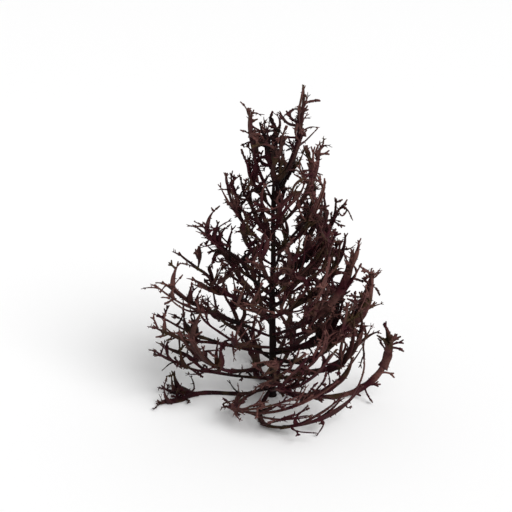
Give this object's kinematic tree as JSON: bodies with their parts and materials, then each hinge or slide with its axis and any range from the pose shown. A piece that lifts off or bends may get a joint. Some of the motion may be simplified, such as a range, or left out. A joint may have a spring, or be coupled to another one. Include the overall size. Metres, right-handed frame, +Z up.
{
  "type": "sea fan",
  "caption": "Dried bushy sea fan: flat, spiny boughs fork from one upright stem and curve up into a cone; the foot is cut off flat.",
  "frame": {"origin": "middle of the flat cut at the foot of the stem", "axes": "+Z up along the stem, +X to the right and -Y to the front of the colony as it is shown"},
  "size_m": [0.2923, 0.2345, 0.3899],
  "materials": {
    "horn_stem": "matte",
    "horn_bough": "matte"
  },
  "bodies": {
    "root": {"stem": "horn_stem", "outer_bough_01": "horn_bough", "outer_bough_02": "horn_bough", "outer_bough_03": "horn_bough", "outer_bough_04": "horn_bough", "outer_bough_05": "horn_bough", "outer_bough_06": "horn_bough", "outer_bough_07": "horn_bough", "outer_bough_08": "horn_bough", "outer_bough_09": "horn_bough", "outer_bough_10": "horn_bough", "outer_bough_11": "horn_bough", "outer_bough_12": "horn_bough", "outer_bough_13": "horn_bough", "outer_bough_14": "horn_bough", "outer_bough_15": "horn_bough", "outer_bough_16": "horn_bough", "outer_bough_17": "horn_bough", "outer_bough_18": "horn_bough", "outer_bough_19": "horn_bough", "outer_bough_20": "horn_bough", "outer_bough_21": "horn_bough", "outer_bough_22": "horn_bough", "outer_bough_23": "horn_bough", "outer_bough_24": "horn_bough", "outer_bough_25": "horn_bough", "outer_bough_26": "horn_bough", "outer_bough_27": "horn_bough", "outer_bough_28": "horn_bough", "outer_bough_29": "horn_bough", "outer_bough_30": "horn_bough", "outer_bough_31": "horn_bough", "inner_bough_01": "horn_bough", "inner_bough_02": "horn_bough", "inner_bough_03": "horn_bough", "inner_bough_04": "horn_bough", "inner_bough_05": "horn_bough", "inner_bough_06": "horn_bough", "inner_bough_07": "horn_bough", "inner_bough_08": "horn_bough", "inner_bough_09": "horn_bough", "inner_bough_10": "horn_bough", "inner_bough_11": "horn_bough", "inner_bough_12": "horn_bough", "inner_bough_13": "horn_bough", "inner_bough_14": "horn_bough", "inner_bough_15": "horn_bough", "inner_bough_16": "horn_bough", "inner_bough_17": "horn_bough", "inner_bough_18": "horn_bough", "inner_bough_19": "horn_bough"}
  },
  "joints": []
}
